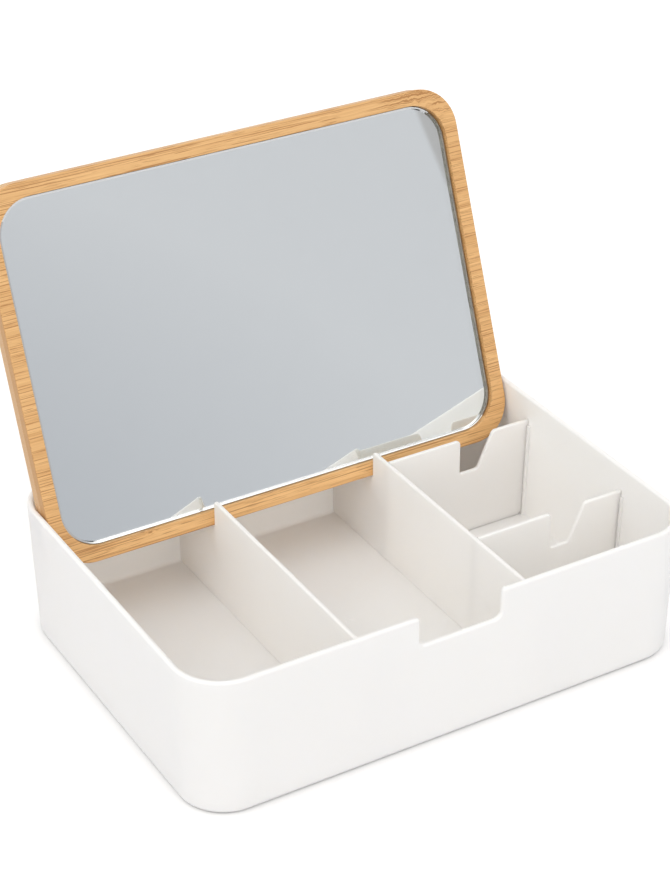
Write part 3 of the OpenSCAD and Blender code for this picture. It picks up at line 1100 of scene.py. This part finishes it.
# Painted shadow: the Ambient Occlusion node dims the camera-only glow near the tray, which darkens
# the floor at its foot.
painted_foot_shadow = tree.nodes.new("ShaderNodeAmbientOcclusion")
painted_foot_shadow.inputs["Distance"].default_value = PAINTED_SHADOW_REACH
strength = calc(tree, "MULTIPLY", painted_foot_shadow.outputs["AO"], OWN_LIGHT)
tree.links.new(strength, glow.inputs["Strength"])
both = tree.nodes.new("ShaderNodeAddShader")
tree.links.new(seen, both.inputs[0])
tree.links.new(glow.outputs["Emission"], both.inputs[1])
plain = coloured(tree, "BsdfDiffuse", (0.73, 0.735, 0.755, 1))
mix_shaders(tree, path.outputs["Is Camera Ray"], plain, both.outputs["Shader"],
            tree.nodes.new("ShaderNodeOutputMaterial"))
finish_with(floor, material)
print("floor", round(floor.dimensions.x, 1), "m wide")

# %% [markdown]
# ## Light
#
# The object is lit by the whole sky of a white studio, so its shades are soft. The world is asked
# for its colour by three kinds of rays. The camera gets plain white. What mirrors and gloss show
# is white too, except in front of the mirror, where a grey part of the studio lies. It fades in
# at its borders, and it is a little darker towards the left and below. What a mirror shows has to
# be there for it to show, so this grey is part of the sky, by direction.

# %% The grey part of the studio
GREY_DARK, GREY_LIGHT = (0.528, 0.547, 0.583, 1), (0.660, 0.673, 0.699, 1)
GREY_BESIDE = (0.50, 0.495, 0.50, 1)  # past a straight upright border
GREY_LEFT, GREY_RIGHT = (-0.30, -0.10), (0.97, 0.88)  # where a border starts, and is fully grey
GREY_TOP, GREY_BACK = (0.58, 0.46), (0.0, -0.2)
world = bpy.data.worlds.new("studio")
bpy.context.scene.world = world
world.use_nodes = True
tree = world.node_tree
tree.nodes.clear()
direction = tree.nodes.new("ShaderNodeTexCoord").outputs["Generated"]
x, y, z = split(tree, direction)
inside = calc(tree, "MULTIPLY", ramp(tree, x, *GREY_LEFT), ramp(tree, x, *GREY_RIGHT))
inside = calc(tree, "MULTIPLY", inside, ramp(tree, z, *GREY_TOP))
inside = calc(tree, "MULTIPLY", inside, ramp(tree, y, *GREY_BACK))
over = calc(tree, "SUBTRACT", z, 0.12)
rise = calc(tree, "MULTIPLY_ADD", over, 2.6,
            calc(tree, "MULTIPLY", calc(tree, "MULTIPLY", over, over), 22.0))
rise = calc(tree, "MULTIPLY_ADD", calc(tree, "SUBTRACT", x, 0.335), 7.0, rise, clamp=True)
grey = blend(tree, rise, GREY_DARK, GREY_LIGHT)
beside = ramp(tree, calc(tree, "MULTIPLY_ADD", z, 0.142, x), 0.5320, 0.5345)
grey = blend(tree, beside, grey, GREY_BESIDE)
print("the grey part of the studio is made with", len(tree.nodes), "nodes")

# %% [markdown]
# The light on the object is even from all sides, a little less from straight above, with soft
# lights added high on the left and high in front, which reach down into the bays. Lamps would
# leave hard shadows, and large area lamps would show in the mirror. A soft light here is a power
# of the cosine to its middle, which falls off smoothly over the sky.

# %% Soft lights
SOFT_LIGHTS = (  # azimuth from +X and elevation in degrees, colour times strength
    (180, 55, (0.86, 0.83, 0.78, 1)),
    (270, 55, (0.76, 0.73, 0.69, 1)),
    (225, 32, (0.30, 0.29, 0.27, 1)),
    (270, 35, (0.24, 0.23, 0.22, 1)),
)
EVEN_LIGHT, TOP_LIGHT = (0.815, 0.82, 0.83, 1), (0.60, 0.60, 0.61, 1)
FALL_OFF, TOP_FALL_OFF = 8.0, 4.0


def lobe(cosine, power):
    """A power of the cosine, and nothing on the far side."""
    return calc(tree, "POWER", calc(tree, "MAXIMUM", cosine, 0.0), power)


def cosine_to(azimuth, elevation):
    """The cosine of the angle between a ray and this direction."""
    level_part = cos(radians(elevation))
    made = tree.nodes.new("ShaderNodeVectorMath")
    made.operation = "DOT_PRODUCT"
    tree.links.new(direction, made.inputs[0])
    made.inputs[1].default_value = (cos(radians(azimuth)) * level_part,
                                    sin(radians(azimuth)) * level_part, sin(radians(elevation)))
    return made.outputs["Value"]


light = blend(tree, lobe(z, TOP_FALL_OFF), EVEN_LIGHT, TOP_LIGHT)
white = (1.0, 1.0, 1.0, 1)
for azimuth, elevation, colour in SOFT_LIGHTS:
    glow = lobe(cosine_to(azimuth, elevation), FALL_OFF)
    light = blend(tree, glow, light, colour, "ADD")
    white = blend(tree, glow, white, colour, "ADD")
print("soft lights:", len(SOFT_LIGHTS))

# %% [markdown]
# A Light Path node tells the rays apart. Mirrors, gloss and glass get the studio with its grey
# part, everything else that is lit gets the light, and the camera gets a white backdrop.

# %% One sky for three kinds of rays
path = tree.nodes.new("ShaderNodeLightPath")
mirrored = calc(tree, "MAXIMUM", path.outputs["Is Glossy Ray"], path.outputs["Is Transmission Ray"])
studio = blend(tree, inside, white, grey)
sky = coloured(tree, "Background", blend(tree, mirrored, light, studio))
backdrop = coloured(tree, "Background", (1, 1, 1, 1))
mix_shaders(tree, path.outputs["Is Camera Ray"], sky, backdrop,
            tree.nodes.new("ShaderNodeOutputWorld"))
bpy.context.scene.view_settings.view_transform = "Standard"
print("studio sky with", len(tree.nodes), "nodes")

# %% [markdown]
# ## Joining the pieces to the imported model
#
# Each new piece rides on the body that moves it, and stands for the imported node that it
# replaces, which is hidden.

# %% Ride and replace
for piece, body, node, slot in (
    (tray, "tray", "tray", "tray_plastic"),
    (cross, "divider_front", "divider_front", "divider_plastic"),
    (second, "divider_rear", "divider_rear", "divider_plastic"),
    (frame_ply, "lid", "lid_frame", "bamboo_frame"),
    (panel, "lid", "lid_panel", "bamboo_panel"),
    (glass, "lid", "mirror_glass", "mirror_glass"),
):
    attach(piece, body)
    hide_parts(node)
    print(piece.name, "stands for", node, "on body", body)
